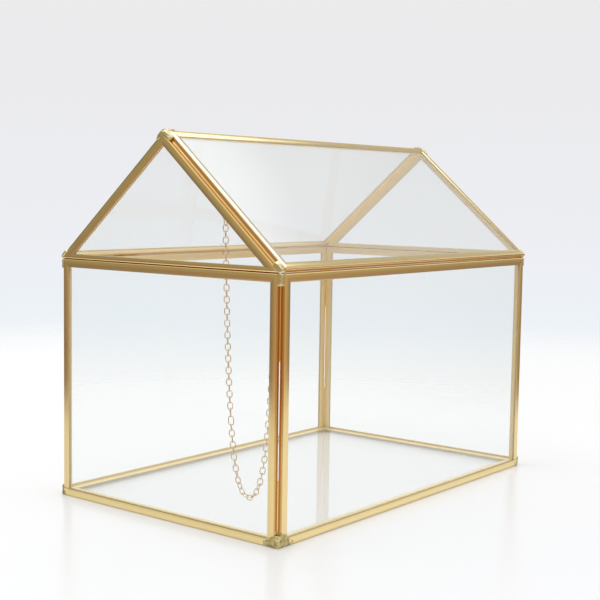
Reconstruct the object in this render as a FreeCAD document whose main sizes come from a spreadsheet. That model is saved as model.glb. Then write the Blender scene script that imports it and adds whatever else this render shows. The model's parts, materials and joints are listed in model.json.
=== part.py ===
import FreeCAD, Part
import math
import os
import Sketcher
from FreeCAD import Placement, Rotation, Vector

# A glass card box in the shape of a small house, whose roof is a hinged lid.
# Each pane is edged with folded brass channel. The channels of neighbouring panes touch only along their
# inner corners, so an open groove runs along every outside edge, and solder closes the grooves' ends.
# X runs across the gables, Y along the ridge and Z up. The origin is on the table below the box's middle.

DRIVING_DIMENSIONS = [
    ("box_length", 260, "outside length along the ridge"),
    ("box_width", 170.6, "outside width across the gable"),
    ("wall_height", 142.6, "height of the walls"),
    ("roof_pitch", 40.5, "slope of the roof in degrees"),
    ("glass_thickness", 2.0, "sheet glass"),
    ("sheet_gauge", 0.4, "brass sheet that the channel is folded from"),
    ("channel_depth", 4.8, "how far a channel's legs reach over the glass"),
    ("gable_base_depth", 2.8, "the same for the low channel along a gable's base"),
    ("bend_radius", 0.8, "outside radius of the channel's folds"),
    ("glazing_play", 0.2, "room between the glass edge and the channel's web"),
    ("floor_lift", 1.2, "underside of the floor's channel above the table"),
    ("lid_gap", 0.3, "room between the rim and the closed lid"),
    ("eave_overhang", 0.5, "how far the eave stands out past the wall"),
    ("solder_length", 6.0, "length of a solder bead along its groove"),
    ("hinge_spread", 150, "distance between the middles of the two hinges"),
    ("hinge_length", 18, "length of a hinge along the eave"),
    ("lid_knuckle_length", 6, "length of the lid's knuckle"),
    ("knuckle_radius", 1.4, "outside radius of the knuckles"),
    ("pin_radius", 0.7, "hinge pin"),
    ("pin_clearance", 0.05, "radial room between the pin and its knuckles"),
    ("hinge_gap", 0.3, "room between moving pieces at the hinge"),
    ("leaf_gauge", 0.5, "thickness of the hinge leaves"),
    ("box_leaf_drop", 4.5, "reach of the box leaf below the hinge axis"),
    ("lid_leaf_drop", 1.9, "reach of the lid leaf down the eave's web"),
    ("link_length", 4.5, "outside length of a chain link"),
    ("link_width", 3.2, "outside width of a chain link"),
    ("wire_diameter", 0.6, "chain wire"),
    ("link_corner", 0.9, "length of the slanted corners of a link"),
    ("link_play", 0.15, "room between two threaded wires"),
    ("chain_clearance", 0.4, "room between the chain and the channels that it hangs beside"),
    ("lid_eye_reach", 42.9, "lid eye from the ridge's middle plane"),
    ("lid_eye_drop", 6.2, "lid eye's lower wire below the gable's edge"),
    ("box_eye_reach", 7.0, "box eye from the outside of the right wall"),
    ("box_eye_drop", 9.0, "box eye's lower wire below the rim"),
    ("loop_height", 20.5, "height that the chain's length is chosen to hang down to"),
    ("lid_run_length", 110.0, "stretch of chain that swings with the lid"),
    ("open_gap", 0.8, "room between the two halves of the chain"),
]
# Links in each of the two pieces that fold the chain at the bottom of its loop
FOLD_LINKS = 2
HALVINGS = 60

doc = FreeCAD.newDocument("card_box")
dims = doc.addObject("Spreadsheet::Sheet", "dims")
for row, (alias, number, note) in enumerate(DRIVING_DIMENSIONS, 1):
    dims.set(f"A{row}", note)
    dims.set(f"B{row}", str(number))
    dims.setAlias(f"B{row}", alias)
doc.recompute()

# Sizes that several pieces share, as expressions on the sheet
CHANNEL = "(dims.glass_thickness + 2 * dims.sheet_gauge)"
DEPTH = "dims.channel_depth"
BASE_DEPTH = "dims.gable_base_depth"
GLASS_INSET = "(dims.sheet_gauge + dims.glazing_play)"
INNER_WIDTH = f"(dims.box_width - 2 * {CHANNEL})"
INNER_LENGTH = f"(dims.box_length - 2 * {CHANNEL})"
HALF_GABLE = f"(dims.box_width / 2 + dims.eave_overhang - {CHANNEL} * sin(dims.roof_pitch))"
RAFTER = f"({HALF_GABLE} / cos(dims.roof_pitch))"
STANDOFF = "(dims.knuckle_radius + dims.hinge_gap)"

X, Y, Z = Vector(1, 0, 0), Vector(0, 1, 0), Vector(0, 0, 1)
TINY = 1e-6
nodes = []


def size(expression):
    """Value of an expression on the sheet."""
    value = dims.evalExpression(expression)
    return float(getattr(value, "Value", value))


def facing(base, along, up):
    """Placement of a flat piece drawn in its own XY plane."""
    return Placement(base, Rotation(along, up, along.cross(up), "XYZ"))


def keep(piece):
    """Count a finished object as one of the box's pieces."""
    nodes.append(piece)
    return piece


def new_sketch(body, name, plane):
    sketch = body.newObject("Sketcher::SketchObject", name)
    support = next(item for item in body.Origin.OriginFeatures if item.Role == plane)
    sketch.AttachmentSupport = (support, [""])
    sketch.MapMode = "FlatFace"
    return sketch


def add_outline(body, name, plane, corners):
    """Closed sketch through corners whose places are bound to expressions."""
    sketch = new_sketch(body, name, plane)
    points = [Vector(size(across), size(up), 0) for across, up in corners]
    count = len(points)
    for number in range(count):
        sketch.addGeometry(Part.LineSegment(points[number], points[(number + 1) % count]))
    for number in range(count):
        sketch.addConstraint(Sketcher.Constraint("Coincident", number, 2, (number + 1) % count, 1))
    for number, (across, up) in enumerate(corners):
        for kind, expression in (("DistanceX", across), ("DistanceY", up)):
            rule = Sketcher.Constraint(kind, -1, 1, number, 1, size(expression))
            sketch.setExpression(f"Constraints[{sketch.addConstraint(rule)}]", expression)
    return sketch


def add_circle(body, name, plane, radius):
    """Circle about the body's origin."""
    sketch = new_sketch(body, name, plane)
    sketch.addGeometry(Part.Circle(Vector(), Z, size(radius)))
    sketch.addConstraint(Sketcher.Constraint("Coincident", 0, 3, -1, 1))
    rule = Sketcher.Constraint("Radius", 0, size(radius))
    sketch.setExpression(f"Constraints[{sketch.addConstraint(rule)}]", radius)
    return sketch


def extrude(body, kind, sketch, length):
    """Pad or pocket of a sketch, half of it to each side of the sketch."""
    feature = body.newObject(f"PartDesign::{kind}", f"{sketch.Name}_{kind.lower()}")
    feature.Profile = sketch
    feature.SideType = "Symmetric"
    feature.setExpression("Length", length)
    return feature


def group(label, pieces):
    """Several separate solids that count as one piece."""
    compound = doc.addObject("Part::Compound", label)
    compound.Links = pieces
    return keep(compound)


def pane(label, placement, corners):
    """Sheet of glass with the given corners."""
    body = doc.addObject("PartDesign::Body", label)
    extrude(body, "Pad", add_outline(body, "edge", "XY_Plane", corners), "dims.glass_thickness")
    body.Placement = placement
    return keep(body)


def channel_strip(label, placement, length, depth, start_run, end_run):
    """U-channel along X with its web at Y = 0, mitred by the two runs at its ends."""
    body = doc.addObject("PartDesign::Body", label)
    outline = [("0", "0"), (length, "0"), (f"{length} - {end_run}", depth), (start_run, depth)]
    bar = extrude(body, "Pad", add_outline(body, "outline", "XY_Plane", outline), CHANNEL)
    web, past_legs = "dims.sheet_gauge", f"{depth} + dims.sheet_gauge"
    slot_outline = [("0", web), (length, web), (length, past_legs), ("0", past_legs)]
    slot_sketch = add_outline(body, "slot", "XY_Plane", slot_outline)
    slot = extrude(body, "Pocket", slot_sketch, "dims.glass_thickness")
    doc.recompute()
    if slot.Shape.Volume > bar.Shape.Volume - TINY:
        raise RuntimeError(f"the slot of {label} cuts nothing")
    folds = []
    for number, edge in enumerate(slot.Shape.Edges, 1):
        on_web = edge.BoundBox.YMax < TINY
        if on_web and edge.BoundBox.XLength > edge.BoundBox.ZLength:
            folds.append(f"Edge{number}")
    fillet = body.newObject("PartDesign::Fillet", "folds")
    fillet.Base = (slot, folds)
    fillet.setExpression("Radius", "dims.bend_radius")
    body.Placement = placement
    return body


def panel_strips(name, placement, edges):
    """Channel on each edge: its name, start corner, direction in degrees, length, depth and mitre runs."""
    strips = []
    for edge, (across, up), turn, *lengths in edges:
        on_panel = Placement(Vector(size(across), size(up), 0), Rotation(Z, turn))
        strips.append(channel_strip(f"{name}_{edge}_channel", placement * on_panel, *lengths))
    return strips


def rectangle_panel(name, placement, width, height, edge_names):
    """Rectangular pane in its channel, edges named from the lowest one anticlockwise."""
    near, far_x, far_y = GLASS_INSET, f"{width} - {GLASS_INSET}", f"{height} - {GLASS_INSET}"
    pane(f"{name}_glass", placement, [(near, near), (far_x, near), (far_x, far_y), (near, far_y)])
    starts = [("0", "0"), (width, "0"), (width, height), ("0", height)]
    lengths = [width, height, width, height]
    edges = []
    for number, edge in enumerate(edge_names):
        edges.append((edge, starts[number], 90 * number, lengths[number], DEPTH, DEPTH, DEPTH))
    return panel_strips(name, placement, edges)


def gable_panel(name, placement, edge_names):
    """Triangular pane in its channel, edges named from the base anticlockwise."""
    base = f"(2 * {HALF_GABLE})"
    apex = (HALF_GABLE, f"{HALF_GABLE} * tan(dims.roof_pitch)")
    foot_inset = f"{GLASS_INSET} / tan(dims.roof_pitch / 2)"
    glass_apex = (HALF_GABLE, f"{apex[1]} - {GLASS_INSET} / cos(dims.roof_pitch)")
    glass_feet = [(foot_inset, GLASS_INSET), (f"{base} - {foot_inset}", GLASS_INSET)]
    pane(f"{name}_glass", placement, glass_feet + [glass_apex])
    base_run = f"({DEPTH} + {BASE_DEPTH} * cos(dims.roof_pitch)) / sin(dims.roof_pitch)"
    foot_run = f"({BASE_DEPTH} + {DEPTH} * cos(dims.roof_pitch)) / sin(dims.roof_pitch)"
    apex_run = f"{DEPTH} * tan(dims.roof_pitch)"
    slope = size("dims.roof_pitch")
    return panel_strips(name, placement, [
        (edge_names[0], ("0", "0"), 0, base, BASE_DEPTH, base_run, base_run),
        (edge_names[1], (base, "0"), 180 - slope, RAFTER, DEPTH, foot_run, apex_run),
        (edge_names[2], apex, 180 + slope, RAFTER, DEPTH, apex_run, foot_run),
    ])


# Places that the pieces share
channel = size(CHANNEL)
half_width = size("dims.box_width") / 2
half_length = size("dims.box_length") / 2
inner_x, inner_y = half_width - channel, half_length - channel
mid_x, mid_y = half_width - channel / 2, half_length - channel / 2
rim_z = size("dims.wall_height")
lid_z = rim_z + size("dims.lid_gap")
gable_x = size(HALF_GABLE)
pitch = math.radians(size("dims.roof_pitch"))
ridge_z = lid_z + gable_x * math.tan(pitch)
SIDES = (("left", -1), ("right", 1))
slopes = {side: Vector(-sign * math.cos(pitch), 0, math.sin(pitch)) for side, sign in SIDES}
outward = {side: Vector(sign * math.sin(pitch), 0, math.cos(pitch)) for side, sign in SIDES}


def build_walls():
    walls = [
        ("front_wall", Vector(-inner_x, -mid_y, 0), X, INNER_WIDTH, ("bottom", "right", "top", "left")),
        ("right_wall", Vector(mid_x, -inner_y, 0), Y, INNER_LENGTH, ("bottom", "back", "top", "front")),
        ("back_wall", Vector(inner_x, mid_y, 0), -X, INNER_WIDTH, ("bottom", "left", "top", "right")),
        ("left_wall", Vector(-mid_x, inner_y, 0), -Y, INNER_LENGTH, ("bottom", "front", "top", "back")),
    ]
    for name, base, along, width, edge_names in walls:
        for strip in rectangle_panel(name, facing(base, along, Z), width, "dims.wall_height", edge_names):
            keep(strip)


def build_floor():
    base = Vector(-inner_x, -inner_y, size("dims.floor_lift") + channel / 2)
    edge_names = ("front", "right", "back", "left")
    for strip in rectangle_panel("floor", facing(base, X, Y), INNER_WIDTH, INNER_LENGTH, edge_names):
        keep(strip)


def build_roof():
    edge_names = {"right": ("eave", "back", "ridge", "front"), "left": ("eave", "front", "ridge", "back")}
    for side, sign in SIDES:
        base = Vector(sign * gable_x, -sign * inner_y, lid_z) + outward[side] * (channel / 2)
        placement = facing(base, Y * sign, slopes[side])
        for strip in rectangle_panel(f"roof_{side}", placement, INNER_LENGTH, RAFTER, edge_names[side]):
            keep(strip)


def build_gables():
    ends = [("front", -1, X, ("base", "right", "left")), ("back", 1, -X, ("base", "left", "right"))]
    for end, sign, along, edge_names in ends:
        placement = facing(along * -gable_x + Vector(0, sign * mid_y, lid_z), along, Z)
        for strip in gable_panel(f"gable_{end}", placement, edge_names):
            keep(strip)


def solder_bead(name, base, along, first, second, angle):
    """Bead in the groove between two webs that stand in the directions first and second."""
    if first.cross(second).dot(along) < 0:
        first, second = second, first
    bead = doc.addObject("Part::Cylinder", name)
    bead.setExpression("Radius", CHANNEL)
    bead.setExpression("Height", "dims.solder_length")
    bead.setExpression("Angle", angle)
    bead.Placement = Placement(base, Rotation(first, along.cross(first), along, "XYZ"))
    return bead


def build_box_solder():
    beads = []
    for side in (-1, 1):
        for end in (-1, 1):
            for base_z, along in ((0, Z), (rim_z, -Z)):
                base = Vector(side * inner_x, end * inner_y, base_z)
                beads.append(solder_bead("corner_bead", base, along, X * side, Y * end, "90"))
    group("box_solder", beads)


def build_lid_solder():
    beads = []
    ridge_base = Vector(0, 0, ridge_z)
    for end in (-1, 1):
        edge = Y * (end * inner_y)
        for side, sign in SIDES:
            eave_base = Vector(sign * gable_x, 0, lid_z) + edge
            for base, along in ((eave_base, slopes[side]), (ridge_base + edge, -slopes[side])):
                beads.append(solder_bead("rake_bead", base, along, outward[side], Y * end, "90"))
        webs = (outward["left"], outward["right"])
        beads.append(solder_bead("ridge_bead", ridge_base + edge, Y * -end, *webs, "2 * dims.roof_pitch"))
    group("lid_solder", beads)


def hinge_leaf(name, drop, lid_side):
    """Leaf along Y that stands off from the hinge axis, with the knuckles of one side of the hinge."""
    body = doc.addObject("PartDesign::Body", name)
    near = f"{STANDOFF} - dims.leaf_gauge"
    plate = [(near, f"-{drop}"), (STANDOFF, f"-{drop}"), (STANDOFF, "0"), (near, "0")]
    knuckle = add_circle(body, "knuckle", "XZ_Plane", "dims.knuckle_radius")
    plate_sketch = add_outline(body, "plate", "XZ_Plane", plate)
    length = "dims.lid_knuckle_length" if lid_side else "dims.hinge_length"
    extrude(body, "Pad", knuckle, length)
    extrude(body, "Pad", plate_sketch, length)
    if not lid_side:
        low, high = f"-{STANDOFF}", STANDOFF
        notch = add_outline(body, "notch", "XZ_Plane", [(low, low), (high, low), (high, high), (low, high)])
        extrude(body, "Pocket", notch, "dims.lid_knuckle_length + 2 * dims.hinge_gap")
    bore = add_circle(body, "bore", "XZ_Plane", "dims.pin_radius + dims.pin_clearance")
    extrude(body, "Pocket", bore, "dims.hinge_length")
    return body


def build_hinges():
    standoff = size(STANDOFF)
    axis_x = -half_width - standoff
    web_distance = (-gable_x - axis_x) * math.cos(pitch)
    axis_z = lid_z + (web_distance - standoff) / math.sin(pitch)
    for end, sign in (("front", -1), ("back", 1)):
        middle = Vector(axis_x, sign * size("dims.hinge_spread") / 2, axis_z)
        box_leaf = keep(hinge_leaf(f"hinge_{end}_box_leaf", "dims.box_leaf_drop", False))
        box_leaf.Placement = Placement(middle, Rotation())
        lid_leaf = keep(hinge_leaf(f"hinge_{end}_lid_leaf", "dims.lid_leaf_drop", True))
        lid_leaf.Placement = Placement(middle, Rotation(-Y, size("dims.roof_pitch")))
        pin = keep(doc.addObject("Part::Cylinder", f"hinge_{end}_pin"))
        pin.setExpression("Radius", "dims.pin_radius")
        pin.setExpression("Height", "dims.hinge_length")
        pin.Placement = Placement(middle - Y * (size("dims.hinge_length") / 2), Rotation(Z, Y))
    return Vector(axis_x, 0, axis_z)


def wire_ring(name, length, width):
    """Oval ring of wire along X, lying in its own XY plane."""
    body = doc.addObject("PartDesign::Body", name)
    for kind, inset in (("Pad", "0"), ("Pocket", "dims.wire_diameter")):
        end_x = f"({length} / 2 - {inset})"
        side_y = f"({width} / 2 - {inset})"
        corner = f"(dims.link_corner - {inset} * (2 - sqrt(2)))"
        quarter = [(end_x, f"({side_y} - {corner})"), (f"({end_x} - {corner})", side_y)]
        corners = quarter + [(f"-{across}", up) for across, up in reversed(quarter)]
        corners += [(f"-{across}", f"-{up}") for across, up in quarter]
        corners += [(across, f"-{up}") for across, up in reversed(quarter)]
        extrude(body, kind, add_outline(body, "ring", "XY_Plane", corners), "dims.wire_diameter")
    return body


def hanging_leans(pitches, span, drop):
    """Slopes of the links of a chain hung between two points, from how a uniform chain hangs.

    A link at a distance along the chain leans by the arctangent of its distance from the lowest point,
    divided by the sag. Both are found by halving: the low point from the drop, the sag from the span.
    """
    total = sum(pitches)
    middles = [sum(pitches[:number]) + pitches[number] / 2 for number in range(len(pitches))]

    def leans_at(low, sag):
        return [math.atan2(middle - low, sag) for middle in middles]

    def low_at(sag):
        lower, upper = 0, total
        for step in range(HALVINGS):
            low = (lower + upper) / 2
            height = sum(length * math.sin(lean) for length, lean in zip(pitches, leans_at(low, sag)))
            lower, upper = (low, upper) if height > drop else (lower, low)
        return low

    narrow, wide = 0, total
    for step in range(HALVINGS):
        sag = (narrow + wide) / 2
        leans = leans_at(low_at(sag), sag)
        reach = sum(length * math.cos(lean) for length, lean in zip(pitches, leans))
        narrow, wide = (sag, wide) if reach < span else (narrow, sag)
    return leans


def build_chain():
    """Lid stay: two wire eyes and the links between them, grouped by what moves together."""
    link_length = size("dims.link_length")
    wire, play = size("dims.wire_diameter"), size("dims.link_play")
    half_eye = "(dims.link_width / 2 + dims.chain_clearance)"
    plane_y = -inner_y + size(half_eye)
    lid_pivot = Vector(size("dims.lid_eye_reach"), plane_y, 0)
    lid_pivot.z = ridge_z - lid_pivot.x * math.tan(pitch) - size("dims.lid_eye_drop")
    box_pivot = Vector(half_width - size("dims.box_eye_reach"), plane_y, rim_z - size("dims.box_eye_drop"))

    for label, pivot in (("lid_chain_eye", lid_pivot), ("box_chain_eye", box_pivot)):
        eye = keep(wire_ring(label, "dims.link_length", f"2 * {half_eye}"))
        eye.Placement = facing(pivot + Z * ((link_length - wire) / 2), Z, Y)

    # Links lie in the plane of the hang and across it by turns. A link across it turns about its own end
    # wires, and one in the plane holds the end wires of its neighbours.
    across_pitch = link_length - wire
    plane_pitch = link_length - 3 * wire - 2 * play
    pair_pitch = across_pitch + plane_pitch
    drops = lid_pivot.z + box_pivot.z - 2 * size("dims.loop_height")
    link_count = 2 * round(drops / pair_pitch) + 1
    pitches = [across_pitch if number % 2 else plane_pitch for number in range(link_count)]
    # The chain closes a loop with the lid and the box, so it parts below the run that swings with the lid.
    lid_run_links = 2 * round(size("dims.lid_run_length") / pair_pitch)
    pitches[lid_run_links] = link_length - wire - play + size("dims.open_gap")

    leans = hanging_leans(pitches, box_pivot.x - lid_pivot.x, box_pivot.z - lid_pivot.z)
    pivots = [lid_pivot]
    link = wire_ring("link", "dims.link_length", "dims.link_width")
    doc.recompute()
    links = []
    for number, (length, lean) in enumerate(zip(pitches, leans)):
        along = Vector(math.cos(lean), 0, math.sin(lean))
        pivots.append(pivots[-1] + along * length)
        half_pitch = (across_pitch if number % 2 else plane_pitch) / 2
        sideways = Y if number % 2 else along.cross(Y)
        shape = link.Shape.copy()
        shape.Placement = facing(pivots[-1] - along * half_pitch, along, sideways)
        links.append(shape)

    lowest = min(range(link_count), key=lambda number: abs(leans[number]))
    sections = [
        ("chain_lid_run", 0, lid_run_links),
        ("chain_middle_run", lid_run_links, lowest - FOLD_LINKS),
        ("chain_fold_near_lid", lowest - FOLD_LINKS, lowest),
        ("chain_fold_near_box", lowest, lowest + FOLD_LINKS),
        ("chain_box_run", lowest + FOLD_LINKS, link_count),
    ]
    for label, first, last in sections:
        section = doc.addObject("Part::Feature", label)
        section.Shape = Part.makeCompound(links[first:last])
        section.Placement = Placement()
        keep(section)
    return [(label, pivots[first], pivots[last]) for label, first, last in sections]


def write_pieces():
    """Check every object and every piece, then write one file for each piece."""
    doc.recompute()
    for item in doc.Objects:
        if {"Invalid", "Error"} & set(item.State):
            raise RuntimeError(f"{item.Name} failed")
    for piece in nodes:
        if piece.Shape.isNull() or not piece.Shape.isValid():
            raise RuntimeError(f"{piece.Label} has no valid shape")
    os.makedirs("parts", exist_ok=True)
    for piece in nodes:
        piece.Shape.exportStep(f"parts/{piece.Label}.step")


build_walls()
build_floor()
build_roof()
build_gables()
build_box_solder()
build_lid_solder()
hinge_axis = build_hinges()
chain_sections = build_chain()
write_pieces()
print(len(nodes), "pieces")
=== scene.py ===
import json
import math

import bmesh
import bpy
import numpy as np
from mathutils import Matrix, Vector, noise


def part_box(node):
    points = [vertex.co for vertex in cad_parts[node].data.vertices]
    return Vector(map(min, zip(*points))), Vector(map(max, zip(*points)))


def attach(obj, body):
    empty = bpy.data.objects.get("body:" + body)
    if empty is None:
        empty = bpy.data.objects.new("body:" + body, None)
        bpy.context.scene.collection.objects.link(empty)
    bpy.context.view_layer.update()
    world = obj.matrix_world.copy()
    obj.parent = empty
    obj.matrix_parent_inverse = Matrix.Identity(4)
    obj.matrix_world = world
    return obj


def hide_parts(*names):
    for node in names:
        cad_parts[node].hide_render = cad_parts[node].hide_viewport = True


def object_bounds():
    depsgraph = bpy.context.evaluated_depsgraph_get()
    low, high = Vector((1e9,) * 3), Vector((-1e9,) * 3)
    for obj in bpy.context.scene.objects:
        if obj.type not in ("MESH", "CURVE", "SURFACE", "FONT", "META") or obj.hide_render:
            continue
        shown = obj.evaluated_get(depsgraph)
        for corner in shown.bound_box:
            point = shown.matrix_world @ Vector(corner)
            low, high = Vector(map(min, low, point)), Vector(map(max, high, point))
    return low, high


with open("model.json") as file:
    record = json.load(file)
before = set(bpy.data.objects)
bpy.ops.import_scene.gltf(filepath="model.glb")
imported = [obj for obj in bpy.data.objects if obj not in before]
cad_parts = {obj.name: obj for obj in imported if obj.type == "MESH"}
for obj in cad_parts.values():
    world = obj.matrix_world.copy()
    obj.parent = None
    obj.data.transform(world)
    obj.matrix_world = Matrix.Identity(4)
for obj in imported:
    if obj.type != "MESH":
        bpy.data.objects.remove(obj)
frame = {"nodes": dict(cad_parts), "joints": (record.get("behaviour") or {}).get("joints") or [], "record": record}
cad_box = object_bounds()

# A glass card box in the shape of a small house, edged with folded brass channel.
# Lengths are in metres. X runs across the gables, Y along the ridge and Z up.

MM = 0.001

# Camera, as fitted to the straight edges of the box in a square picture
PICTURE_WIDTH = 600
FOCAL_PIXELS = 1185.6
SENSOR_WIDTH = 36.0
NEAREST_SEEN = 0.01
CAMERA_PLACE = Vector((0.46453, -0.59227, 0.18291))
CAMERA_AZIMUTH = math.radians(38.456)
CAMERA_ELEVATION = math.radians(5.107)
CAMERA_ROLL = math.radians(0.884)

# Directions in the room
FRONT_SIDE = (math.sin(CAMERA_AZIMUTH), -math.cos(CAMERA_AZIMUTH), 0.0)
ROOM_SIDE = (0.77, -0.64, 0.0)
WINDOW_SIDE = (0.64, 0.77, 0.0)
SKYLIGHT = (-0.05, 0.62, 0.78)

# Corners this close are joined, places this close count as level, and faces this nearly flat as one
WELD = 0.001 * MM
LEVEL = 0.01 * MM
FLAT_ANGLE = math.radians(1)
SMOOTH_ANGLE = math.radians(28)

# Channel section
SLOT_HALF = 1.02 * MM
WEB_GAUGE = 0.4 * MM
OUTER_FOLD = 0.8 * MM
INNER_FOLD = 0.36 * MM
TIGHT_FOLD = 0.1 * MM
RIM_CROWN = 0.29 * MM
SLOT_RADIUS = 0.3 * MM
EDGE_RADIUS = 0.02 * MM

# How far a full leg falls back at its free edge, and the share of its depth where it stands out most
FULL_LEG = 4.0 * MM
LEG_EASE = 0.24 * MM
LEG_CREST = 0.35
SHORT_LEG_POWER = 1.3

# Sweep of a channel, with the dents of handwork
SECTION_STEP = 4 * MM
DENT = 0.06 * MM
DENT_LENGTH = 16 * MM
DENT_FADE = 0.8

# The grain of a corner is its place along the strip, its run round the section and its share of the
# depth, from 0 on the web to 1 at the free edges. Corners inside the slot have this value for a share.
HIDDEN = 2.0

# Channels painted paler than the rest, as a painted highlight
PAINTED_HIGHLIGHT_CHANNELS = {"roof_right_front_channel"}

# Chain
WIRE_RADIUS = 0.26 * MM
LINK_TWIST = math.radians(36)
TWIST_FADE = 12 * MM

# Where the chain comes apart as the lid swings, two links reach through each other while it is whole:
# the lowest link of the one run and the highest of the other
PARTING_RUNS = {"chain_lid_run": -1, "chain_middle_run": 1}
PARTING_REACH = 0.95 * MM

# Heights in millimetres between which the slits at the posts are closed
POST_SEAMS = [(3, 35), (97, 139)]

# Solder that has run out over the channels: where, and how far it reaches each way
STAINS = [
    ((0.085, -0.127, 0.0), (9.5 * MM, 8.5 * MM, 8 * MM)),
    ((-0.085, -0.130, 0.0), (5 * MM, 5 * MM, 4 * MM)),
    ((0.085, 0.130, 0.0), (5 * MM, 6 * MM, 4 * MM)),
    ((-0.085, 0.130, 0.0), (8 * MM, 8 * MM, 7 * MM)),
]
# Tone of run-out solder, following the noise of its lumps: its own colour, with painted shade in the hollows and a
# painted highlight on the crests
STAIN_AND_HOLLOW_SHADE_STOPS = [(0.35, (0.36, 0.28, 0.10)), (0.65, (0.74, 0.64, 0.34))]

# Painted light and shade on the brass, and how high they reach at the base: painted shade on the webs in the
# grooves, towards the free edges and in a dark line near the foot; a painted highlight at the base; painted
# light on the inner legs and on the hidden faces in the slot, which are pale and not metal
PAINTED_WEB_SHADE = (0.66, 0.40, 0.17)
PAINTED_EDGE_SHADE = (0.86, 0.75, 0.50)
PAINTED_SLOT_LIGHT = (1.0, 0.86, 0.58)
PAINTED_INSIDE_LIGHT = (1.0, 0.88, 0.62)
PAINTED_BASE_HIGHLIGHT = (1.0, 0.85, 0.46)
PAINTED_LINE_SHADE = (0.48, 0.32, 0.13)
BASE_TOP = (5.2 * MM, 5.8 * MM)
BASE_LINE = 4.6 * MM
LINE_HALF = (0.2 * MM, 0.5 * MM)

# Sockets of a mix node, for numbers and for colours
NUMBER_INPUTS, NUMBER_RESULT = (2, 3), 0
COLOUR_INPUTS, COLOUR_RESULT = (6, 7), 2


def new_object(name, data):
    piece = bpy.data.objects.new(name, data)
    bpy.context.scene.collection.objects.link(piece)
    return piece


def add_node(tree, kind, settings=None, inputs=None):
    """Shader node with its settings and its inputs, each a plain value or another node's socket."""
    node = tree.nodes.new(f"ShaderNode{kind}")
    for name, value in (settings or {}).items():
        setattr(node, name, value)
    for name, value in (inputs or {}).items():
        if isinstance(value, bpy.types.NodeSocket):
            tree.links.new(value, node.inputs[name])
        else:
            node.inputs[name].default_value = value
    return node


def new_material(name):
    material = bpy.data.materials.new(name)
    material.use_nodes = True
    material.node_tree.nodes.clear()
    return material, material.node_tree


def set_surface(tree, shader):
    add_node(tree, "OutputMaterial", inputs={"Surface": shader})


def object_place(tree):
    return add_node(tree, "TexCoord").outputs["Object"]


def z_of(tree, vector):
    return add_node(tree, "SeparateXYZ", inputs={"Vector": vector}).outputs["Z"]


def calculated(tree, operation, *values):
    """Number worked out from other numbers."""
    return add_node(tree, "Math", {"operation": operation}, dict(enumerate(values))).outputs["Value"]


def vector_result(tree, operation, output, *values):
    node = add_node(tree, "VectorMath", {"operation": operation}, dict(enumerate(values)))
    return node.outputs[output]


def reach_toward(tree, vector, direction):
    """How far a vector reaches in a direction."""
    return vector_result(tree, "DOT_PRODUCT", "Value", vector, direction)


def scaled(tree, vector, scale):
    """Vector times one number, or times one for each axis."""
    factors = scale if isinstance(scale, tuple) else (scale, scale, scale)
    return vector_result(tree, "MULTIPLY", "Vector", vector, factors)


def noise_field(tree, vector, detail, roughness=0.5):
    node = add_node(tree, "TexNoise", inputs={
        "Vector": vector, "Scale": 1.0, "Detail": detail, "Roughness": roughness})
    return node.outputs["Fac"]


def ramp(tree, factor, stops):
    """Colour ramp through (place, colour) stops."""
    node = add_node(tree, "ValToRGB", inputs={"Fac": factor})
    elements = node.color_ramp.elements
    while len(elements) < len(stops):
        elements.new(0.5)
    for element, (place, colour) in zip(elements, stops):
        element.position = place
        element.color = (*colour, 1.0)
    return node.outputs["Color"]


def spread(tree, value, low, high, new_low=0.0, new_high=1.0):
    """Value mapped smoothly from one range to another, and held at its ends."""
    node = add_node(tree, "MapRange", {"interpolation_type": "SMOOTHSTEP"}, {
        "Value": value, "From Min": low, "From Max": high, "To Min": new_low, "To Max": new_high})
    return node.outputs["Result"]


def mixed(tree, factor, *colours):
    """Colour between two colours."""
    tones = [(*colour, 1.0) if isinstance(colour, tuple) else colour for colour in colours]
    inputs = {"Factor": factor, **dict(zip(COLOUR_INPUTS, tones))}
    return add_node(tree, "Mix", {"data_type": "RGBA"}, inputs).outputs[COLOUR_RESULT]


def mixed_number(tree, factor, *numbers):
    """Number between two numbers."""
    inputs = {"Factor": factor, **dict(zip(NUMBER_INPUTS, numbers))}
    return add_node(tree, "Mix", {"data_type": "FLOAT"}, inputs).outputs[NUMBER_RESULT]


def bumped(tree, height, strength, distance, under=None):
    """Normal of a surface with bumps, which may lie on finer bumps under them."""
    inputs = {"Strength": strength, "Distance": distance, "Height": height}
    if under is not None:
        inputs["Normal"] = under
    return add_node(tree, "Bump", inputs=inputs).outputs["Normal"]


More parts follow.
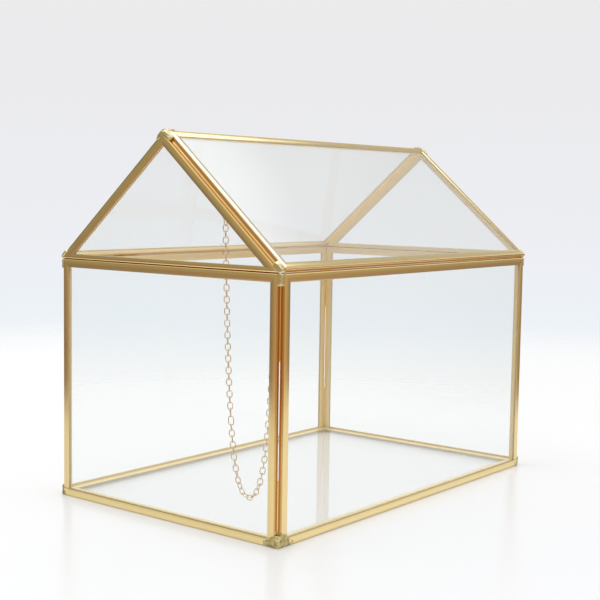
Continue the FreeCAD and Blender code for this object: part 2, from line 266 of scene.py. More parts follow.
def brass_tone(tree, tones, streaks, depth, place):
    """Bare brass: streaked and clouded, with painted shade darker and warmer on the webs in the grooves, greyer
    towards the free edges and in a dark line near the foot, and a painted highlight paler at the base.
    """
    CLOUD_SCALE, CLOUD_DETAIL, CLOUD_ROUGHNESS = 45.0, 4.0, 0.6
    CLOUD_RIM, WEB_END, EDGE_ZONE = (0.5, 0.75), (0.03, 0.15), (0.4, 1.0)
    CLOUDED, WEB_SHADE_SHARE, EDGE_SHADE_SHARE, PAINTED_LIGHT_SHARE, LINE_SHADE_SHARE = 0.35, 0.8, 0.5, 0.6, 0.8
    clouds = noise_field(tree, scaled(tree, place, CLOUD_SCALE), CLOUD_DETAIL, CLOUD_ROUGHNESS)
    body = ramp(tree, streaks, [(0.25, tones[0]), (0.75, tones[1])])
    worn = mixed(tree, spread(tree, clouds, *CLOUD_RIM, 0.0, CLOUDED), body, tones[2])
    # Painted shade: the webs, which lie in the grooves, are darker and warmer
    warm = mixed(tree, spread(tree, depth, *WEB_END, WEB_SHADE_SHARE, 0.0), worn, PAINTED_WEB_SHADE)
    # Painted shade: greyer and darker towards the free edges, where the legs meet the glass
    edged = mixed(tree, spread(tree, depth, *EDGE_ZONE, 0.0, EDGE_SHADE_SHARE), warm, PAINTED_EDGE_SHADE)
    height = z_of(tree, place)
    # Painted highlight: paler brass low down at the base
    base_lit = mixed(tree, spread(tree, height, *BASE_TOP, PAINTED_LIGHT_SHARE, 0.0), edged, PAINTED_BASE_HIGHLIGHT)
    # Painted shadow line: a dark line along the bottom legs near their top edge
    off_line = calculated(tree, "ABSOLUTE", calculated(tree, "SUBTRACT", height, BASE_LINE))
    return mixed(tree, spread(tree, off_line, *LINE_HALF, LINE_SHADE_SHARE, 0.0), base_lit, PAINTED_LINE_SHADE)


def stained_share(tree, place, blobs):
    """Where solder has run out over the brass, from 0 to 1, with a ragged outline."""
    RAGGED = 1.2
    OUTLINE = (0.32, 0.46)
    stained = 0.0
    for corner, reach in STAINS:
        offset = vector_result(tree, "SUBTRACT", "Vector", place, corner)
        relative = scaled(tree, offset, tuple(1 / length for length in reach))
        away = vector_result(tree, "LENGTH", "Value", relative)
        ragged = calculated(tree, "MULTIPLY_ADD", blobs, -RAGGED, away)
        stained = calculated(tree, "MAXIMUM", stained, spread(tree, ragged, *OUTLINE, 1.0, 0.0))
    return stained


def brass_material(name, tones, gloss):
    """Rolled brass whose streaks follow each strip, matt on the inner legs and dull at the stains, with painted
    light that makes the inner legs paler and the hidden faces in the slot pale and not metal.
    """
    STREAK_SCALE, STREAK_DETAIL = (18.0, 2600.0, 0.0), 3.0
    BLOB_SCALE, BLOB_DETAIL = 260.0, 1.5
    PAINTED_LIGHT_SHARE, INSIDE_ROUGHNESS, DULLED = 0.6, 0.42, 0.2
    FINE_STRENGTH, FINE_HEIGHT = 0.02, 0.1 * MM
    LUMP_STRENGTH, LUMP_HEIGHT = 0.6, 0.6 * MM
    material, tree = new_material(name)
    grain = add_node(tree, "Attribute", {"attribute_name": "grain"}).outputs["Vector"]
    inside = add_node(tree, "Attribute", {"attribute_name": "inward_side"}).outputs["Fac"]
    depth = z_of(tree, grain)
    place = object_place(tree)
    streaks = noise_field(tree, scaled(tree, grain, STREAK_SCALE), STREAK_DETAIL)
    blobs = noise_field(tree, scaled(tree, place, BLOB_SCALE), BLOB_DETAIL)
    stained = stained_share(tree, place, blobs)
    slot = spread(tree, depth, 1.0, HIDDEN)
    bare = brass_tone(tree, tones, streaks, depth, place)
    soldered = mixed(tree, stained, bare, ramp(tree, blobs, STAIN_AND_HOLLOW_SHADE_STOPS))
    # Painted light: the inner legs are paler
    inside_lit = mixed(tree, spread(tree, inside, 0.0, 1.0, 0.0, PAINTED_LIGHT_SHARE), soldered, PAINTED_INSIDE_LIGHT)
    # Painted light: the hidden faces in the slot are pale and not metal, so they look lit through the glass
    finished = mixed(tree, slot, inside_lit, PAINTED_SLOT_LIGHT)
    polished = spread(tree, streaks, 0.3, 0.8, *gloss)
    rough = mixed_number(tree, inside, polished, INSIDE_ROUGHNESS)
    fine = bumped(tree, streaks, FINE_STRENGTH, FINE_HEIGHT)
    lumps = calculated(tree, "MULTIPLY", stained, blobs)
    shader = add_node(tree, "BsdfPrincipled", inputs={
        "Base Color": finished,
        "Metallic": spread(tree, slot, 0.0, 1.0, 1.0, 0.0),
        "Roughness": calculated(tree, "MULTIPLY_ADD", stained, DULLED, rough),
        "Normal": bumped(tree, lumps, LUMP_STRENGTH, LUMP_HEIGHT, fine)})
    set_surface(tree, shader.outputs["BSDF"])
    return material


def wire_material():
    """Bright drawn wire with slight changes of tone from link to link."""
    CLOUD_SCALE, CLOUD_DETAIL = 420.0, 3.0
    STOPS = [(0.3, (0.72, 0.54, 0.34)), (0.7, (0.88, 0.72, 0.52))]
    BRIGHT, DULL = 0.18, 0.34
    material, tree = new_material("chain_wire")
    clouds = noise_field(tree, scaled(tree, object_place(tree), CLOUD_SCALE), CLOUD_DETAIL)
    shader = add_node(tree, "BsdfPrincipled", inputs={
        "Base Color": ramp(tree, clouds, STOPS), "Metallic": 1.0,
        "Roughness": spread(tree, clouds, 0.3, 0.7, BRIGHT, DULL)})
    set_surface(tree, shader.outputs["BSDF"])
    return material


def solder_material():
    """Plated solder, softly lumpy, with painted shade making its hollows olive and a painted highlight making its
    crests pale, and olive-toned near the base.
    """
    LUMP_SCALE, LUMP_DETAIL = 330.0, 3.0
    LUMP_STRENGTH, LUMP_HEIGHT = 0.4, 0.4 * MM
    # Painted shade and highlight: the tone follows the lumps, olive in the hollows and pale on the crests
    STOPS = [(0.3, (0.40, 0.30, 0.12)), (0.45, (0.80, 0.68, 0.38)), (0.7, (0.95, 0.88, 0.64))]
    OLIVE_TOP = (10 * MM, 20 * MM)
    HOLLOW_ROUGHNESS, CREST_ROUGHNESS = 0.42, 0.2
    material, tree = new_material("solder")
    place = object_place(tree)
    lumps = noise_field(tree, scaled(tree, place, LUMP_SCALE), LUMP_DETAIL)
    low = spread(tree, z_of(tree, place), *OLIVE_TOP, 1.0, 0.0)
    tone = mixed(tree, low, ramp(tree, lumps, STOPS), ramp(tree, lumps, STAIN_AND_HOLLOW_SHADE_STOPS))
    shader = add_node(tree, "BsdfPrincipled", inputs={
        "Base Color": tone, "Metallic": 1.0,
        "Roughness": spread(tree, lumps, 0.35, 0.65, HOLLOW_ROUGHNESS, CREST_ROUGHNESS),
        "Normal": bumped(tree, lumps, LUMP_STRENGTH, LUMP_HEIGHT)})
    set_surface(tree, shader.outputs["BSDF"])
    return material


def glass_material():
    """Clear sheet glass with a very slight wave, painted shade that makes the roof panes a little darker, and a
    film that shows most on the roof: dust, and on the roof also a painted sheen of the bright ceiling.

    Shadow and diffuse rays pass through it, so that the panes cast no shadow.
    """
    WAVE_SCALE, WAVE_DETAIL = 9.0, 1.0
    WAVE_STRENGTH, WAVE_HEIGHT = 0.05, 1 * MM
    STOPS = [(0.3, (0.984, 0.998, 0.995)), (0.7, (0.990, 1.0, 0.998))]
    # Painted shade: the roof panes are a little darker
    ROOF_SHADE_TINT = (0.965, 0.976, 0.968)
    ROOF_HEIGHTS, ROOF_LEVELS = (0.14, 0.15), (0.3, 0.6)
    # The film is dust, and on the roof also a painted sheen of the bright ceiling
    DUST_AND_SHEEN_TONE = (0.95, 0.955, 0.95, 1.0)
    LEAST_FILM, MOST_FILM = 0.02, 0.09
    material, tree = new_material("glass")
    place = object_place(tree)
    wave = noise_field(tree, scaled(tree, place, WAVE_SCALE), WAVE_DETAIL)
    level = calculated(tree, "ABSOLUTE", z_of(tree, add_node(tree, "TexCoord").outputs["Normal"]))
    roof = calculated(tree, "MULTIPLY",
                      spread(tree, z_of(tree, place), *ROOF_HEIGHTS), spread(tree, level, *ROOF_LEVELS))
    clear = add_node(tree, "BsdfPrincipled", inputs={
        "Base Color": mixed(tree, roof, ramp(tree, wave, STOPS), ROOF_SHADE_TINT),
        "Roughness": 0.0, "IOR": 1.22, "Transmission Weight": 1.0,
        "Normal": bumped(tree, wave, WAVE_STRENGTH, WAVE_HEIGHT)})
    dust = add_node(tree, "BsdfDiffuse", inputs={"Color": DUST_AND_SHEEN_TONE})
    dusty = add_node(tree, "MixShader", inputs={
        0: spread(tree, roof, 0.0, 1.0, LEAST_FILM, MOST_FILM),
        1: clear.outputs["BSDF"], 2: dust.outputs["BSDF"]})
    rays = add_node(tree, "LightPath").outputs
    open_air = add_node(tree, "BsdfTransparent", inputs={"Color": (1.0, 1.0, 1.0, 1.0)})
    shader = add_node(tree, "MixShader", inputs={
        0: calculated(tree, "MAXIMUM", rays["Is Shadow Ray"], rays["Is Diffuse Ray"]),
        1: dusty.outputs["Shader"], 2: open_air.outputs["BSDF"]})
    set_surface(tree, shader.outputs["Shader"])
    return material


MATERIALS = {
    "glass": glass_material(),
    "brass_channel": brass_material(
        "brass_channel", [(1.0, 0.81, 0.42), (0.97, 0.73, 0.32), (0.87, 0.58, 0.21)], (0.11, 0.2)),
    # Paler brass: a painted highlight on some channels
    "painted_highlight_brass": brass_material(
        "painted_highlight_brass", [(1.0, 0.91, 0.68), (1.0, 0.86, 0.57), (0.95, 0.77, 0.45)], (0.11, 0.2)),
    "hinge_brass": brass_material(
        "hinge_brass", [(0.86, 0.58, 0.21), (0.76, 0.48, 0.16), (0.60, 0.36, 0.11)], (0.16, 0.32)),
    "solder": solder_material(),
    "chain_wire": wire_material(),
}
OBJECT_MIDDLE = (np.array(cad_box[0]) + np.array(cad_box[1])) / 2
SLOT_OF = {item["node"]: item["material_slot"] for item in frame["record"]["subparts"]}
BODIES = frame["record"]["behaviour"]["bodies"]
BODY_OF = {node: body for body, nodes in BODIES.items() for node in nodes}
CHAIN_PIVOTS = [Vector(joint["pos_m"]) for joint in frame["joints"] if joint["name"].startswith("chain_")]


def stand_in(piece, node):
    """Piece that is shown in place of a CAD node and moves with the node's body."""
    slot = SLOT_OF[node]
    piece.data.materials.clear()
    piece.data.materials.append(MATERIALS[slot])
    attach(piece, BODY_OF[node])
    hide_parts(node)


def welded_copy(node):
    """Copy of a node's mesh in which neighbouring faces share their corners."""
    shape = bmesh.new()
    shape.from_mesh(frame["nodes"][node].data)
    bmesh.ops.remove_doubles(shape, verts=shape.verts, dist=WELD)
    return shape


def plain_copy(node):
    """Copy of a node's mesh with one face for each flat side."""
    shape = welded_copy(node)
    bmesh.ops.dissolve_limit(shape, angle_limit=FLAT_ANGLE, verts=shape.verts, edges=shape.edges)
    return shape


def smooth_mesh(shape, name):
    """Smooth-shaded mesh of a finished shape."""
    mesh = bpy.data.meshes.new(name)
    shape.to_mesh(mesh)
    shape.free()
    mesh.shade_smooth()
    return mesh


def write_grain(mesh, grain):
    """Keeps the grain of each corner, for the streaks and tones of the brass."""
    attribute = mesh.attributes.new("grain", "FLOAT_VECTOR", "POINT")
    attribute.data.foreach_set("vector", np.array(grain).ravel())


def main_axes(points):
    """Axes of a cloud of points as columns, from the shortest to the longest."""
    return np.linalg.eigh(np.cov((points - points.mean(axis=0)).T))[1]


def held_inside(place, low, high):
    return [min(max(value, least), most) for value, least, most in zip(place, low, high)]


def dress_strip(node):
    """Smooth-shaded hinge piece that knows its own direction, for the streaks of its brass."""
    mesh = smooth_mesh(plain_copy(node), f"{node}_brass")
    points = np.array([vertex.co for vertex in mesh.vertices])
    middle = (points.min(axis=0) + points.max(axis=0)) / 2
    along, depth, across = ((points - middle) @ main_axes(points)).T[::-1]
    depth = depth - depth.min()
    share = depth / depth.max()
    if np.median(share) > 0.5:
        share = 1 - share
    write_grain(mesh, np.column_stack([along, depth + across, share]))
    mesh.set_sharp_from_angle(angle=SMOOTH_ANGLE)
    stand_in(new_object(f"{node}_brass", mesh), node)


def arc(centre, radius, start, end, steps):
    """Points along a round corner, by angles in degrees."""
    angles = [math.radians(start + (end - start) * step / steps) for step in range(steps + 1)]
    return [(centre[0] + radius * math.cos(angle), centre[1] + radius * math.sin(angle))
            for angle in angles]


def channel_side(half, depth, fold, crown):
    """One half of a channel's outline, from the middle of its web round the leg and into the slot."""
    LEG_STEPS, FOLD_STEPS, ROUND_STEPS = 8, 6, 4
    edge_depth = depth - EDGE_RADIUS
    leg = edge_depth - fold
    ease = LEG_EASE * min(leg / FULL_LEG, 1.0) ** SHORT_LEG_POWER
    shares = [step / LEG_STEPS for step in range(LEG_STEPS + 1)]
    bulge = [half - ease * ((share - LEG_CREST) / (1 - LEG_CREST)) ** 2 for share in shares]
    flat = bulge[0] - fold
    web = [(flat * share, -crown * (1 - share ** 2)) for share in shares[:-1]]
    outer_fold = arc((flat, fold), fold, -90, 0, FOLD_STEPS)
    face = [(across, fold + leg * share) for across, share in zip(bulge[1:], shares[1:])]
    free_edge = arc((half - ease - EDGE_RADIUS, edge_depth), EDGE_RADIUS, 0, 90, ROUND_STEPS)[1:]
    slot_centre = (SLOT_HALF - SLOT_RADIUS, WEB_GAUGE + SLOT_RADIUS)
    slot = [(SLOT_HALF, depth)] + arc(slot_centre, SLOT_RADIUS, 0, -90, ROUND_STEPS)
    return web + outer_fold + face + free_edge + slot


def channel_section(half, depth, inner_fold, crown):
    """Closed outline of a folded channel as (across, depth) points, with softly crowned legs."""
    outer = channel_side(half, depth, OUTER_FOLD, crown)
    inner = [(-across, deep) for across, deep in channel_side(half, depth, inner_fold, crown)]
    return outer + [(0.0, WEB_GAUGE)] + inner[:0:-1]


def pane_beside(node):
    """Middle of the pane that a channel holds, and the pane's direction away from the box."""
    pane = frame["nodes"][node.rsplit("_", 2)[0] + "_glass"].data
    middle = np.mean([vertex.co for vertex in pane.vertices], axis=0)
    outward = np.array(max(pane.polygons, key=lambda face: face.area).normal)
    if outward @ (middle - OBJECT_MIDDLE) < 0:
        outward = -outward
    return middle, outward


def corners_and_run(node):
    """Corners of a straight strip and the direction of its longest edge."""
    shape = plain_copy(node)
    longest = max(shape.edges, key=lambda edge: edge.calc_length())
    along = np.array((longest.verts[0].co - longest.verts[1].co).normalized())
    points = np.array([vertex.co for vertex in shape.verts])
    shape.free()
    return points, along


def swept_faces(size, count):
    """Faces of a closed outline of so many points that is swept in so many steps, with both ends."""
    faces = []
    for step in range(count):
        for turn in range(size):
            here, after = step * size + turn, step * size + (turn + 1) % size
            faces.append((here, after, after + size, here + size))
    return faces + [tuple(range(size))[::-1], tuple(range(count * size, (count + 1) * size))]


def dented(across, spot, mitre):
    """Place across a channel, pressed in by handwork, and less so towards the free edges."""
    wave = noise.noise(Vector(spot) / DENT_LENGTH) * 0.5 + 0.5
    return across - math.copysign(DENT * wave, across) * (1 - DENT_FADE * mitre)


def dress_channel(node):
    """Channel folded from sheet, swept between its two mitres, with the slight dents of handwork."""
    pane_middle, outward = pane_beside(node)
    points, along = corners_and_run(node)
    inward = np.cross(outward, along)
    if inward @ (pane_middle - points.mean(axis=0)) < 0:
        inward = -inward
    places, depths, levels = points @ along, points @ inward, points @ outward
    web, edge = depths.min(), depths.max()
    middle, half = (levels.max() + levels.min()) / 2, np.ptp(levels) / 2
    at_web, at_edge = places[depths < web + LEVEL], places[depths > edge - LEVEL]
    inner_fold = TIGHT_FOLD if node.endswith(("eave_channel", "base_channel")) else INNER_FOLD
    crown = RIM_CROWN if node.endswith("wall_top_channel") else 0.0
    section = channel_section(half, edge - web, inner_fold, crown)
    run = np.cumsum([0.0] + [math.dist(first, second) for first, second in zip(section, section[1:])])
    count = max(2, round(np.ptp(places) / SECTION_STEP))
    streak_shift = len(node)
    corners, grain, inward_side = [], [], []
    for step in range(count + 1):
        for turn, (across, deep) in enumerate(section):
            mitre = max(deep, 0.0) / (edge - web)
            first = at_web.min() + (at_edge.min() - at_web.min()) * mitre
            last = at_web.max() + (at_edge.max() - at_web.max()) * mitre
            place = first + (last - first) * (step / count)
            spot = along * place + inward * (web + deep) + outward * middle
            if abs(across) > SLOT_HALF:
                across = dented(across, spot, mitre)
            corners.append(spot + outward * across)
            hidden = abs(across) <= SLOT_HALF and deep >= WEB_GAUGE
            grain.append((place + streak_shift, run[turn], HIDDEN if hidden else mitre))
            inward_side.append(1.0 if across < -SLOT_HALF else 0.0)
    mesh = bpy.data.meshes.new(f"{node}_brass")
    mesh.from_pydata(corners, [], swept_faces(len(section), count))
    write_grain(mesh, grain)
    mesh.attributes.new("inward_side", "FLOAT", "POINT").data.foreach_set("value", inward_side)
    outline = bmesh.new()
    outline.from_mesh(mesh)
    bmesh.ops.recalc_face_normals(outline, faces=outline.faces)
    outline.to_mesh(mesh)
    outline.free()
    mesh.shade_smooth()
    mesh.set_sharp_from_angle(angle=SMOOTH_ANGLE)
    stand_in(new_object(f"{node}_brass", mesh), node)
    # Painted highlight: these channels take the paler brass
    if node in PAINTED_HIGHLIGHT_CHANNELS:
        mesh.materials[0] = MATERIALS["painted_highlight_brass"]


def islands_of(shape):
    """Groups of joined vertices, in the order of the mesh."""
    found = set()
    groups = []
    for start in shape.verts:
        if start in found:
            continue
        found.add(start)
        group, front = [start], [start]
        while front:
            for edge in front.pop().link_edges:
                for vertex in edge.verts:
                    if vertex not in found:
                        found.add(vertex)
                        front.append(vertex)
                        group.append(vertex)
        groups.append(group)
    return groups


def add_wire_oval(shape, centre, along, sideways, length, width):
    """Closed oval of round wire with the given outside length and width."""
    ROUND_STEPS, WIRE_STEPS = 8, 8
    normal = along.cross(sideways)
    end_radius = width / 2 - WIRE_RADIUS
    straight = length / 2 - WIRE_RADIUS - end_radius
    rings = []
    for half, shift in ((-math.pi / 2, straight), (math.pi / 2, -straight)):
        for step in range(ROUND_STEPS + 1):
            angle = half + math.pi * step / ROUND_STEPS
            out = along * math.cos(angle) + sideways * math.sin(angle)
            path = centre + along * shift + out * end_radius
            ring = []
            for turn in range(WIRE_STEPS):
                around = 2 * math.pi * turn / WIRE_STEPS
                offset = out * math.cos(around) + normal * math.sin(around)
                ring.append(shape.verts.new(path + offset * WIRE_RADIUS))
            rings.append(ring)
    for first, second in zip(rings, rings[1:] + rings[:1]):
        for turn in range(WIRE_STEPS):
            following = (turn + 1) % WIRE_STEPS
            shape.faces.new((first[turn], second[turn], second[following], first[following]))


def twist_at(place):
    """How far a link is turned about the chain, fading out where the chain is held or folds."""
    nearest = min((place - pivot).length for pivot in CHAIN_PIVOTS)
    share = min(nearest / TWIST_FADE, 1.0)
    return LINK_TWIST * share * share * (3 - 2 * share)


def dress_wire(node, twisted):
    """Round-wire ovals in place of a node's rings."""
    rings = welded_copy(node)
    links = [np.array([vertex.co for vertex in group]) for group in islands_of(rings)]
    rings.free()
    outward = PARTING_RUNS.get(node, 0)
    last = max(outward * points[:, 2].mean() for points in links)
    shape = bmesh.new()
    for points in links:
        centre = Vector((points.min(axis=0) + points.max(axis=0)) / 2)
        axes = main_axes(points)
        along, sideways = Vector(axes[:, 2]), Vector(axes[:, 1])
        if along.z < 0:
            along.negate()
        reach = (points - np.array(centre)) @ axes
        length, width = np.ptp(reach[:, 2]), np.ptp(reach[:, 1])
        if outward and outward * points[:, 2].mean() == last:
            length += PARTING_REACH
            centre += along * (outward * PARTING_REACH / 2)
        if twisted:
            sideways = Matrix.Rotation(twist_at(centre), 3, along) @ sideways
        add_wire_oval(shape, centre, along, sideways, length, width)
    bmesh.ops.recalc_face_normals(shape, faces=shape.faces)
    stand_in(new_object(f"{node}_wire", smooth_mesh(shape, f"{node}_wire")), node)


def remeshed_copy(node, name, voxel):
    """Object with a node's shape, rebuilt from small even faces."""
    piece = new_object(name, smooth_mesh(welded_copy(node), name))
    remesh = piece.modifiers.new("remesh", "REMESH")
    remesh.mode = "VOXEL"
    remesh.voxel_size = voxel
    evaluated = piece.evaluated_get(bpy.context.evaluated_depsgraph_get())
    piece.data = bpy.data.meshes.new_from_object(evaluated)
    piece.modifiers.clear()
    return piece


def dress_solder(node):
    """Lumpy beads in the ends of the grooves, fuller at the near post, inside the CAD beads' box."""
    VOXEL = 0.35 * MM
    SMOOTHINGS, SMOOTHING = 16, 0.5
    LUMP, LUMP_LENGTH = 0.35 * MM, 4.5 * MM
    FADE, FINER, LAYERS = 1.0, 2.0, 2
    FULL, THIN = 0.7 * MM, 0.1 * MM
    NEAR_POST_X = 0.06
    low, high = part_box(node)
    beads = remeshed_copy(node, f"{node}_beads", VOXEL)
    shape = bmesh.new()
    shape.from_mesh(beads.data)
    for _ in range(SMOOTHINGS):
        bmesh.ops.smooth_vert(shape, verts=shape.verts, factor=SMOOTHING,
                              use_axis_x=True, use_axis_y=True, use_axis_z=True)
    shape.to_mesh(beads.data)
    shape.free()
    normals = [vertex.normal.copy() for vertex in beads.data.vertices]
    for vertex, normal in zip(beads.data.vertices, normals):
        lump = noise.fractal(vertex.co / LUMP_LENGTH, FADE, FINER, LAYERS)
        fullness = FULL if vertex.co.x > NEAR_POST_X and vertex.co.y < 0 else THIN
        vertex.co = held_inside(vertex.co + normal * (fullness + lump * LUMP), low, high)
    beads.data.shade_smooth()
    stand_in(beads, node)


def build_seam(name, body, start, end):
    """Thread of solder in the slit between two channels' folds, between two places in millimetres."""
    STEPS, SIDES = 60, 8
    THICK, UNEVEN, UNEVEN_LENGTH = 0.34 * MM, 0.25, 9 * MM
    LEG_SHARE = 0.3
    start, end = Vector(start) * MM, Vector(end) * MM
    along = (end - start).normalized()
    across = along.orthogonal().normalized()
    turns = [Matrix.Rotation(2 * math.pi * side / SIDES, 3, along) for side in range(SIDES)]
    shape = bmesh.new()
    rings = []
    for step in range(STEPS + 1):
        place = start.lerp(end, step / STEPS)
        radius = THICK * (1 + UNEVEN * noise.noise(place / UNEVEN_LENGTH))
        rings.append([shape.verts.new(place + turn @ across * radius) for turn in turns])
    for first, second in zip(rings, rings[1:]):
        for side in range(SIDES):
            following = (side + 1) % SIDES
            shape.faces.new((first[side], first[following], second[following], second[side]))
    shape.faces.new(rings[0][::-1])
    shape.faces.new(rings[-1])
    bmesh.ops.recalc_face_normals(shape, faces=shape.faces)
    mesh = smooth_mesh(shape, name)
    write_grain(mesh, [(vertex.co.dot(along), 0.0, LEG_SHARE) for vertex in mesh.vertices])
    mesh.materials.append(MATERIALS["brass_channel"])
    seam = new_object(name, mesh)
    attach(seam, body)


def build_seams():
    """Solder along parts of the slits at the posts, and along the whole of the rakes and the ridge."""
    RAKE_ENDS = 0.03
    RIDGE_ENDS = 3
    side_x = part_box("front_wall_right_channel")[1][0] / MM
    end_y = -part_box("right_wall_front_channel")[0][1] / MM
    foot_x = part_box("gable_front_base_channel")[1][0] / MM
    foot_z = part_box("gable_front_base_channel")[0][2] / MM
    ridge_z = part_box("gable_front_right_channel")[1][2] / MM
    spare = RAKE_ENDS * (ridge_z - foot_z)
    for side, across in (("left", -1), ("right", 1)):
        for end, lengthwise in (("front", -1), ("back", 1)):
            corner_x, corner_y = across * side_x, lengthwise * end_y
            for stretch, (low, high) in enumerate(POST_SEAMS):
                build_seam(f"post_seam_{end}_{side}_{stretch}", "box",
                           (corner_x, corner_y, low), (corner_x, corner_y, high))
            build_seam(f"rake_seam_{end}_{side}", "lid",
                       (across * foot_x * (1 - RAKE_ENDS), corner_y, foot_z + spare),
                       (across * foot_x * RAKE_ENDS, corner_y, ridge_z - spare))
    build_seam("ridge_seam", "lid", (0, RIDGE_ENDS - end_y, ridge_z), (0, end_y - RIDGE_ENDS, ridge_z))


def build_apex_cap(name, node, lengthwise):
    """Smooth cap of solder over the top of a gable, where the two rakes and the ridge meet."""
    RADII = Vector((5.2 * MM, 1.6 * MM, 2.4 * MM))
    FINENESS, BOXINESS = 4, 0.7
    RISE, SAG = 0.4 * MM, 0.55
    LUMP, LUMP_LENGTH = 0.2 * MM, 2.5 * MM
    low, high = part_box("lid_solder")
    middle = Vector((0.0, lengthwise * (high[1] - RADII.y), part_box(node)[1][2] + RISE))
    shape = bmesh.new()
    bmesh.ops.create_icosphere(shape, subdivisions=FINENESS, radius=1.0)
    for vertex in shape.verts:
        boxy = Vector([math.copysign(abs(value) ** BOXINESS, value) for value in vertex.co])
        place = middle + boxy * RADII
        place.z -= abs(place.x) * SAG
        place += vertex.co * (LUMP * noise.noise(place / LUMP_LENGTH))
        vertex.co = held_inside(place, low, high)
    mesh = smooth_mesh(shape, name)
    mesh.materials.append(MATERIALS["solder"])
    cap = new_object(name, mesh)
    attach(cap, "lid")


def dress_pane(node):
    """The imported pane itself, in clear glass."""
    pane = frame["nodes"][node]
    pane.data.materials.clear()
    pane.data.materials.append(MATERIALS["glass"])


def build_object():
    for node, slot in SLOT_OF.items():
        if slot == "glass":
            dress_pane(node)
        elif slot == "solder":
            dress_solder(node)
        elif slot == "chain_wire":
            dress_wire(node, twisted=node.startswith("chain_"))
        elif slot == "brass_channel":
            dress_channel(node)
        else:
            dress_strip(node)


def table_fade(tree, place, nearer):
    """Share of the backdrop that shows in place of the table: all far away, and a little everywhere."""
    LEAST = 0.1
    FRONT = (-0.12, 0.02)
    FRONT_RING, BACK_RING, MIRRORED_RING = (0.3, 0.62), (0.5, 1.1), (0.25, 0.55)
    distance = vector_result(tree, "LENGTH", "Value", place)
    mirrored = add_node(tree, "LightPath").outputs["Is Glossy Ray"]
    behind = mixed_number(tree, mirrored,
                          spread(tree, distance, *BACK_RING), spread(tree, distance, *MIRRORED_RING))
    fade = mixed_number(tree, spread(tree, nearer, *FRONT), behind, spread(tree, distance, *FRONT_RING))
    return calculated(tree, "MAXIMUM", fade, LEAST)


def table_material():
    """Glossy white table that melts into the backdrop, with painted shade that makes it darker and a little bluer
    towards the front.
    """
    CLOUD_SCALE, CLOUD_DETAIL = 1.3, 1.0
    FAR_STOPS = [(0.35, (0.96, 0.965, 0.98)), (0.65, (0.985, 0.985, 0.99))]
    # Painted shade: the front of the table is darker and a little bluer
    SHADED_NEAR_STOPS = [(0.35, (0.90, 0.91, 0.94)), (0.65, (0.94, 0.95, 0.97))]
    HALF_CHANGE = 0.2
    material, tree = new_material("table")
    place = object_place(tree)
    clouds = noise_field(tree, scaled(tree, place, CLOUD_SCALE), CLOUD_DETAIL)
    nearer = reach_toward(tree, place, FRONT_SIDE)
    tone = mixed(tree, spread(tree, nearer, -HALF_CHANGE, HALF_CHANGE),
                 ramp(tree, clouds, FAR_STOPS), ramp(tree, clouds, SHADED_NEAR_STOPS))
    table = add_node(tree, "BsdfPrincipled", inputs={
        "Base Color": tone, "Roughness": 0.22, "Specular IOR Level": 0.4})
    beyond = add_node(tree, "BsdfTransparent")
    shader = add_node(tree, "MixShader", inputs={
        0: table_fade(tree, place, nearer), 1: table.outputs["BSDF"], 2: beyond.outputs["BSDF"]})
    set_surface(tree, shader.outputs["Shader"])
    return material


def build_floor():
    """Table top just under the box."""
    REACH = 4.0
    DROP = 0.05 * MM
    mesh = bpy.data.meshes.new("table")
    corners = [(x * REACH, y * REACH, -DROP) for x, y in ((-1, -1), (1, -1), (1, 1), (-1, 1))]
    mesh.from_pydata(corners, [], [(0, 1, 2, 3)])
    mesh.materials.append(table_material())
    new_object("table", mesh)


def wall_tone(tree, height):
    """The wall behind the box as it is seen directly, white at its foot and grey above."""
    HALF_RISE = 0.2
    STOPS = [
        (0.10, (0.985, 0.985, 0.99)), (0.24, (0.85, 0.895, 0.94)), (0.40, (0.85, 0.86, 0.90)),
        (0.70, (0.83, 0.83, 0.85)), (0.95, (0.83, 0.83, 0.835))]
    rise = add_node(tree, "MapRange", inputs={
        "Value": height, "From Min": -HALF_RISE, "From Max": HALF_RISE})
    return ramp(tree, rise.outputs["Result"], STOPS)


def ceiling_tone(tree, direction, height, glossy):
    """Bright ceiling, in which shiny things also see a skylight with a darker frame round it."""
    FRAME, FRAME_LEVEL, AROUND_LEVEL = (0.86, 0.93), 0.5, 0.97
    PANE, PANE_LEVEL = (0.970, 0.984), 1.5
    HIGH, LOW_LEVEL = (0.1, 0.5), 0.95
    nearness = reach_toward(tree, direction, SKYLIGHT)
    framed = spread(tree, nearness, *FRAME, AROUND_LEVEL, FRAME_LEVEL)
    skylight = calculated(tree, "ADD", framed, spread(tree, nearness, *PANE, 0.0, PANE_LEVEL))
    plain = spread(tree, height, *HIGH, LOW_LEVEL, 1.0)
    level = calculated(tree, "MULTIPLY", plain, mixed_number(tree, glossy, 1.0, skylight))
    return add_node(tree, "CombineColor", inputs={0: level, 1: level, 2: level}).outputs["Color"]


def shade_tone(tree, direction, height, window):
    """Dim part of the room, olive on one side, amber on the other and brighter towards the window."""
    SIDES, LOW = (-0.32, 0.36), (-0.10, 0.0)
    LOW_TONES = ((0.24, 0.19, 0.16), (0.50, 0.33, 0.19))
    LEVEL_TONES = ((0.29, 0.27, 0.20), (0.45, 0.40, 0.27))
    WINDOW, BOOST = (0.0, 0.9), 1.2
    side = spread(tree, reach_toward(tree, direction, ROOM_SIDE), *SIDES)
    low_shade, level_shade = mixed(tree, side, *LOW_TONES), mixed(tree, side, *LEVEL_TONES)
    shade = mixed(tree, spread(tree, height, *LOW), low_shade, level_shade)
    boost = spread(tree, window, *WINDOW, 1.0, BOOST)
    node = add_node(tree, "VectorMath", {"operation": "SCALE"}, {0: shade, "Scale": boost})
    return node.outputs["Vector"]


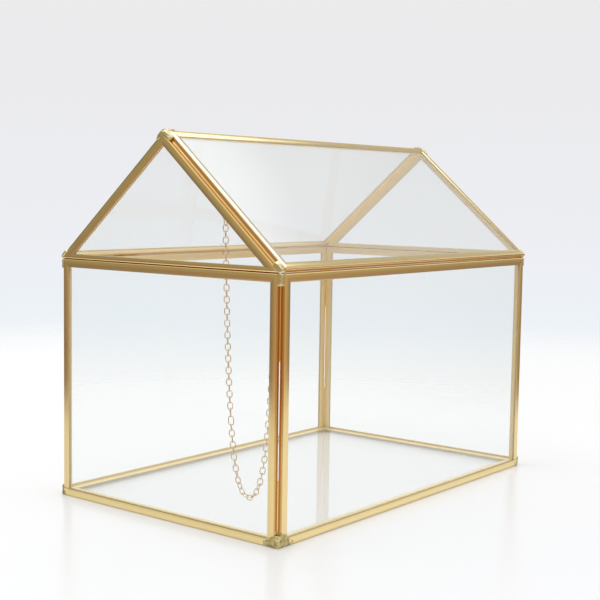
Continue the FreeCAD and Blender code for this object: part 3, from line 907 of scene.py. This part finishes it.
def dimness(tree, direction, height, window):
    """Where the room is dim, from 0 to 1: low down, higher up away from the window, not at the wall."""
    OFF_WALL = (-0.95, -0.6)
    WINDOW, LIFT, DIM_TOP = (-0.3, 0.3), 0.3, (0.04, 0.28)
    off_wall = spread(tree, reach_toward(tree, direction, FRONT_SIDE), *OFF_WALL)
    lift = spread(tree, window, *WINDOW, LIFT, 0.0)
    low = spread(tree, calculated(tree, "SUBTRACT", height, lift), *DIM_TOP, 1.0, 0.0)
    return calculated(tree, "MULTIPLY", off_wall, low)


def build_world():
    """Pale wall behind the box and bright ceiling, with a warm, dim room on the other sides."""
    world = bpy.data.worlds.new("room")
    bpy.context.scene.world = world
    world.use_nodes = True
    tree = world.node_tree
    tree.nodes.clear()
    direction = add_node(tree, "TexCoord").outputs["Generated"]
    height = z_of(tree, direction)
    window = reach_toward(tree, direction, WINDOW_SIDE)
    rays = add_node(tree, "LightPath").outputs
    room = mixed(tree, dimness(tree, direction, height, window),
                 ceiling_tone(tree, direction, height, rays["Is Glossy Ray"]),
                 shade_tone(tree, direction, height, window))
    bounces = calculated(tree, "ADD", rays["Glossy Depth"], rays["Diffuse Depth"])
    direct = calculated(tree, "LESS_THAN", bounces, 0.5)
    seen = mixed(tree, direct, room, wall_tone(tree, height))
    glow = add_node(tree, "Background", inputs={"Color": seen, "Strength": 1.0})
    add_node(tree, "OutputWorld", inputs={"Surface": glow.outputs["Background"]})


def build_lamp():
    """One large soft lamp overhead."""
    PLACE, AIM = Vector((-0.3, -0.2, 1.5)), Vector((0, 0, 0.1))
    WIDTH, POWER = 1.0, 3.9
    lamp = bpy.data.lights.new("overhead", "AREA")
    lamp.shape = "DISK"
    lamp.size = WIDTH
    lamp.energy = POWER
    holder = new_object("overhead", lamp)
    holder.location = PLACE
    holder.rotation_euler = (AIM - PLACE).to_track_quat("-Z", "Y").to_euler()


def build_camera():
    back = Vector((math.sin(CAMERA_AZIMUTH) * math.cos(CAMERA_ELEVATION),
                   -math.cos(CAMERA_AZIMUTH) * math.cos(CAMERA_ELEVATION), math.sin(CAMERA_ELEVATION)))
    level = Vector((math.cos(CAMERA_AZIMUTH), math.sin(CAMERA_AZIMUTH), 0))
    upright = back.cross(level)
    right = level * math.cos(CAMERA_ROLL) + upright * math.sin(CAMERA_ROLL)
    turn = Matrix((right, back.cross(right), back)).transposed().to_4x4()
    camera = bpy.data.cameras.new("camera")
    camera.sensor_width = SENSOR_WIDTH
    camera.lens = FOCAL_PIXELS / PICTURE_WIDTH * SENSOR_WIDTH
    camera.clip_start = NEAREST_SEEN
    holder = new_object("camera", camera)
    holder.matrix_world = Matrix.Translation(CAMERA_PLACE) @ turn
    bpy.context.scene.camera = holder


build_object()
build_seams()
build_apex_cap("apex_cap_front", "gable_front_right_channel", -1)
build_apex_cap("apex_cap_back", "gable_back_right_channel", 1)
build_floor()
build_world()
build_lamp()
build_camera()
bpy.context.scene.view_settings.view_transform = "Standard"
